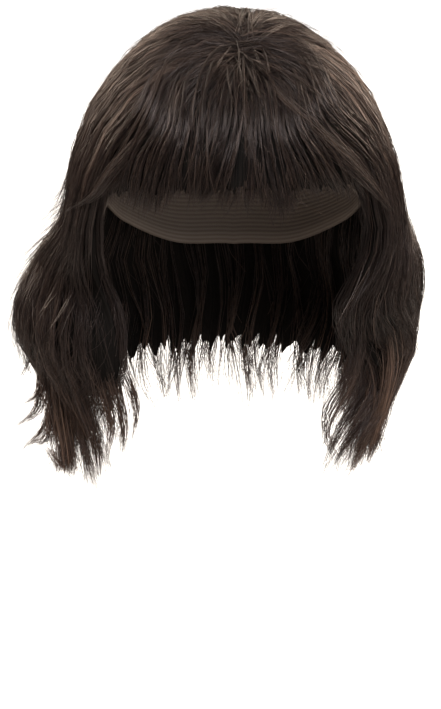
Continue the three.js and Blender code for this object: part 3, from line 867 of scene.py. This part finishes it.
def layered_strands(name, node, start, end, seed, count, high, low, flick, sweep):
    """Shorter layered hair on the outside of a section, whose tips stand out from it.

    The tips lie between the drops high and low, and the flick is how far they stand out."""
    rng = np.random.default_rng(seed)
    points = 10
    tresses = count // 6
    tress = np.arange(count) % tresses
    aside, outwards = in_bundle(rng, tress, tresses, 2.2)
    azimuth = per_strand(feathered(rng.uniform(start, end, tresses)), tress) + 0.6 * aside[:, None]
    tip_drop = rng.uniform(high, low, tresses)[tress] + rng.normal(0, 5, count)
    tip = WAY_DOWN - CAP_HEIGHT + tip_drop
    root = np.minimum(rng.uniform(60, 120, count), tip - 45)[:, None]
    down = np.linspace(0, 1, points) ** 0.8
    travel = lerp(root, tip[:, None], down)
    way = azimuth + frizz(rng, count, points, 1.8)
    way += per_strand(rng.normal(0, 3, tresses), tress) * down ** 2
    follows = np.where(rng.random(tresses) < 0.4, 0.0, rng.uniform(0.6, 1.1, tresses))
    loose = (1 - smooth(np.abs(azimuth), 95, 122)) * per_strand(follows, tress)
    way = swept(way, travel, sweep, loose)
    layer = lerp(0.55, rng.uniform(0.95, 1.05, count)[:, None], smooth(down, 0, 0.6))
    paths = fallen(way, travel, layer, -0.2)
    # The tips stand out most at the side of the cap, in the upper layers.
    reach = flick * smooth(tip_drop, high - 5, high + 20) * (1 - 0.6 * smooth(tip_drop, 128, 158))
    reach *= lerp(0.25, 1, smooth(np.abs(azimuth[:, 0]), 76, 92))
    stand = rng.uniform(0.25, 1.0, tresses)[tress] ** 1.5 * rng.uniform(0.6, 1.15, count) * reach
    push = stand[:, None] * smooth(down, 0.62, 1.15) + 0.6 * outwards[:, None]
    push += frizz(rng, count, points, 0.7)
    paths = pushed(paths, push)
    radii = strand_radii(rng, count, points, thickest=0.11, taper_from=0.6)
    light = np.where(rng.random(tresses) < 0.15, 0.12, 0.0)[tress]
    tones = np.clip(tress_tones(rng, tress, tresses) + light, DARKEST_TONE, 0.58)
    strand_piece(name, node, long_hair, paths, radii, tones, travel / HAIR_LENGTH)


def stray_bundle(rng, way, half, count, points):
    """Strands along a smooth curve through the points of a way, which draw together at its tip.

    They start inside the section that they leave, so that no root shows."""
    knots = np.array(way, float)
    lead = 2 * knots[0] - knots[1]
    level = lead * (1, 1, 0)
    lead -= STRAY_ROOT_DEPTH * level / np.linalg.norm(level)
    knots = np.vstack([2 * lead - knots[0], lead, knots, 2 * knots[-1] - knots[-2]])
    spans = len(knots) - 3
    place = np.linspace(0, spans - 1e-6, points)
    span = place.astype(int)
    t = (place - span)[:, None]
    a, b, c, d = (knots[span + k] for k in range(4))
    curve = 0.5 * (2 * b + (c - a) * t + (2 * a - 5 * b + 4 * c - d) * t ** 2
                   + (3 * b - a - 3 * c + d) * t ** 3)
    down = np.linspace(0, 1, points)
    cut = (1 - 0.25 * rng.random(count) ** 2)[:, None] * down
    paths = np.stack([np.interp(cut, down, curve[:, axis]) for axis in range(3)], axis=-1)
    spread = rng.normal(0, 0.5 * half, (count, 3))[:, None, :]
    spread = spread * lerp(1.0, 0.22, cut ** 1.5)[:, :, None]
    wander = np.stack([frizz(rng, count, points, 0.8) for _ in range(3)], axis=-1)
    return paths + spread + wander


def stray_strands(name, node, locks, seed):
    """Locks that leave a section, each drawn out to a thin tip."""
    rng = np.random.default_rng(seed)
    points = 12
    bundles = [stray_bundle(rng, way, half, count, points) for count, half, _, way in locks]
    paths = np.concatenate(bundles)
    lock = np.repeat(np.arange(len(locks)), [len(bundle) for bundle in bundles])
    change = np.array([change for _, _, change, _ in locks])
    tones = np.clip(tress_tones(rng, lock, len(locks)) + change[lock], DARKEST_TONE, LIGHTEST_TONE)
    radii = strand_radii(rng, len(paths), points, thickest=0.15, taper_from=0.7)
    travel = WAY_DOWN - CAP_HEIGHT - paths[:, :, 2]
    ways = np.clip(travel / HAIR_LENGTH, 0, 1)
    strand_piece(name, node, long_hair, paths, radii, tones, ways)


long_hair = hair_material("hair_long", LONG_HAIR_LIFTS_WITH_PAINTED_LIGHT)
long_mass("side_right_mass", "side_hair_right", start=-128, end=-64)
long_strands("side_right_strands", "side_hair_right", start=-128, end=-62, seed=31,
             spacing=2.2, rows=5, each=17, ragged=5, sweep=SWEEP_RIGHT, turn=5.0,
             tress_spread=0.07, strand_spread=0.14, lightest=0.68)
layered_strands("side_right_layers", "side_hair_right", start=-128, end=-64, seed=33,
                count=1100, high=95, low=215, flick=30, sweep=SWEEP_RIGHT)
stray_strands("side_right_strays", "side_hair_right", STRAY_LOCKS_RIGHT, seed=35)


# The long hair on the wearer's left
# The same sewn hair, which bulges less on this side. It sweeps back on its way down, and its
# ends turn in towards the front. A few locks leave it, most of them near the hem.
SWEEP_LEFT = np.array([  # drop, the azimuth that the outer hair leans to there, how strongly
    (90, 85, 0.0), (120, 76, 0.2), (150, 70, 0.45), (172, 82, 0.5), (197, 97, 0.75),
    (222, 86, 0.7), (260, 73, 0.7),
], float)
STRAY_LOCKS_LEFT = [  # strands, half width at the root, change of tone, three points on the way
    (30, 3, 0.12, [(101, 6, -124), (109, 4, -150), (99, 0, -190)]),
    (36, 6, 0.0, [(68, -38, -190), (53, -45, -219), (61, -45, -240)]),
    (16, 4, 0.1, [(66, -40, -184), (51, -46, -210), (55, -46, -236)]),
    (50, 5, 0.3, [(89, -26, -184), (85, -29, -212), (77, -31, -242)]),
    (110, 8, 0.0, [(79, -24, -206), (75, -29, -232), (68, -30, -252)]),
    (60, 6, 0.0, [(88, -20, -200), (82, -24, -230), (77, -26, -248)]),
    (60, 7, 0.0, [(46, -75, -42), (69, -67, -65), (86, -52, -90)]),
]

long_mass("side_left_mass", "side_hair_left", start=64, end=128, sweep=SWEEP_LEFT, inner=0.45)
long_strands("side_left_strands", "side_hair_left", start=62, end=128, seed=41,
             spacing=2.2, rows=5, each=17, ragged=5, sweep=SWEEP_LEFT, inner=0.45, turn=-3.0,
             fill=0.82, crimp=2.0, tress_spread=0.18, strand_spread=0.2)
layered_strands("side_left_layers", "side_hair_left", start=64, end=128, seed=43,
                count=850, high=105, low=215, flick=12, sweep=SWEEP_LEFT)
stray_strands("side_left_strays", "side_hair_left", STRAY_LOCKS_LEFT, seed=45)


# The long hair at the back
# The same sewn hair, from one side to the other. It hangs closer and straighter than the sides do,
# in locks that end at about one level.
long_mass("back_mass", "back_hair", start=128, end=232, fill=0.8)
long_strands("back_strands", "back_hair", start=124, end=236, seed=51,
             spacing=3.23, rows=4, each=12, ragged=4, skin=0.76,
             tress_spread=0.07, strand_spread=0.15)


# The flyaways
# Single hairs that have worked loose. They stand up from the crown in low arcs, and along the
# sides they leave the outline and end in the air.
FLYAWAY_SEED = 62

rng = np.random.default_rng(FLYAWAY_SEED)
count, points = 250, 9
azimuth = rng.uniform(-180, 180, count)[:, None]
root = rng.uniform(-0.05, 0.55, count)[:, None]
reach = rng.uniform(0.15, 0.45, count)[:, None]
down = np.linspace(0, 1, points)
along = root + reach * down
arc = rng.uniform(0.3, 3.5, count)[:, None] * np.sin(math.pi * np.minimum(down * 0.75, 1))
height = HAIR_INSIDE + 0.95 * dome_thickness(along) + arc + frizz(rng, count, points, 0.5)
way = azimuth + frizz(rng, count, points, 6.0) + rng.normal(0, 9, count)[:, None] * down
paths = combed(way, along, lerp(HAIR_INSIDE + 3, height, smooth(down, 0, 0.2)))
radii = strand_radii(rng, count, points, thickest=0.075, taper_from=0.4)
tones = rng.uniform(0.5, 0.95, count)
strand_piece("flyaway_strands", "crown_hair", short_hair, paths, radii, tones)


def side_flyaways(name, node, start, end, seed, count, furthest):
    """Loose hairs along a section, whose tips stand out by up to the furthest."""
    rng = np.random.default_rng(seed)
    points = 9
    azimuth = rng.uniform(start, end, count)[:, None]
    root = rng.uniform(90, 235, count)[:, None]
    length = rng.uniform(28, 62, count)[:, None]
    down = np.linspace(0, 1, points)
    travel = root + length * down
    way = azimuth + frizz(rng, count, points, 3.0)
    way += rng.normal(0, 6, count)[:, None] * down ** 2
    paths = fallen(way, travel, 0.95, -0.2)
    stand = furthest * rng.random(count)[:, None] ** 1.2
    push = stand * down ** 1.6 - 2.0 * (1 - down) + frizz(rng, count, points, 0.8)
    paths = pushed(paths, push)
    radii = strand_radii(rng, count, points, thickest=0.09, taper_from=0.3)
    tones = rng.uniform(0.35, 0.75, count)
    strand_piece(name, node, long_hair, paths, radii, tones, travel / HAIR_LENGTH)


side_flyaways("side_right_flyaways", "side_hair_right", start=-128, end=-68, seed=65,
              count=230, furthest=14.0)
side_flyaways("side_left_flyaways", "side_hair_left", start=68, end=128, seed=67,
              count=130, furthest=8.0)


# The studio
# A white floor and backdrop, lit by a soft light overhead, a warm one behind either side, a weak one
# at the back and a wide fill from the front. The camera looks a little down. Distances are in metres.
MM_PER_PIXEL = 0.58
PICTURE_WIDTH, PICTURE_HEIGHT = 441, 709
WIG_CENTRE_PIXEL = 234
DISTANCE = 1.7
DEPRESSION = math.radians(18)
AIM_HEIGHT = -0.1906
SENSOR = 36.0
FLOOR = -0.395
FLOOR_SIZE = 30.0
WIG_MIDDLE = Vector((0, 0, -0.1))
WHITE = (1, 1, 1)
WARM = (1, 0.84, 0.68)
LIGHTS = [  # name, azimuth, elevation, distance, width, power, colour
    ("overhead", 0, 54, 1.6, 0.8, 28, WHITE),
    ("left_rim", -120, 26, 1.6, 0.9, 44, WARM),
    ("right_rim", 120, 26, 1.6, 0.9, 52, WARM),
    ("back_top", 180, 32, 1.6, 0.8, 7, (1, 0.84, 0.66)),
    ("front_fill", 34, 18, 2.2, 1.6, 17, WHITE),
]

camera_data = bpy.data.cameras.new("camera")
camera_data.sensor_width = SENSOR
camera_data.lens = SENSOR * DISTANCE * 1000 / MM_PER_PIXEL / PICTURE_HEIGHT
camera = bpy.data.objects.new("camera", camera_data)
bpy.context.scene.collection.objects.link(camera)
aim = Vector(((PICTURE_WIDTH / 2 - WIG_CENTRE_PIXEL) * MM_PER_PIXEL / 1000, 0, AIM_HEIGHT))
camera.location = aim + DISTANCE * Vector((0, -math.cos(DEPRESSION), math.sin(DEPRESSION)))
camera.rotation_euler = (aim - camera.location).to_track_quat("-Z", "Y").to_euler()
bpy.context.scene.camera = camera

bpy.ops.object.select_all(action="DESELECT")
bpy.ops.mesh.primitive_plane_add(size=FLOOR_SIZE, location=(0, 0, FLOOR))
floor = bpy.context.object
floor.name = "floor"
paper, tree, shader = new_material("white_paper")
set_up(shader, Base_Color=(0.35, 0.35, 0.35, 1), Roughness=0.9, Emission_Color=(1, 1, 1, 1))
seen = add_node(tree, "LightPath")
link(seen, "Is Camera Ray", shader, "Emission Strength")
floor.data.materials.append(paper)


def soft_light(name, azimuth, elevation, distance, width, power, colour):
    """A square soft light that faces the middle of the wig."""
    data = bpy.data.lights.new(name, "AREA")
    data.shape = "RECTANGLE"
    data.size = width
    data.size_y = width
    data.energy = power
    data.color = colour
    light = bpy.data.objects.new(name, data)
    bpy.context.scene.collection.objects.link(light)
    a, e = math.radians(azimuth), math.radians(elevation)
    towards = Vector((math.sin(a) * math.cos(e), -math.cos(a) * math.cos(e), math.sin(e)))
    light.location = WIG_MIDDLE + distance * towards
    light.rotation_euler = (WIG_MIDDLE - light.location).to_track_quat("-Z", "Y").to_euler()


for row in LIGHTS:
    soft_light(*row)

world = bpy.data.worlds.new("white")
world.use_nodes = True
bpy.context.scene.world = world
backdrop = set_up(world.node_tree.nodes["Background"], Color=(1, 1, 1, 1))
seen = add_node(world.node_tree, "LightPath")
bright = add_node(world.node_tree, "Math", operation="MAXIMUM")
bright.inputs[1].default_value = 0.15
link(seen, "Is Camera Ray", bright, 0)
link(bright, "Value", backdrop, "Strength")
bpy.context.scene.view_settings.view_transform = "Standard"
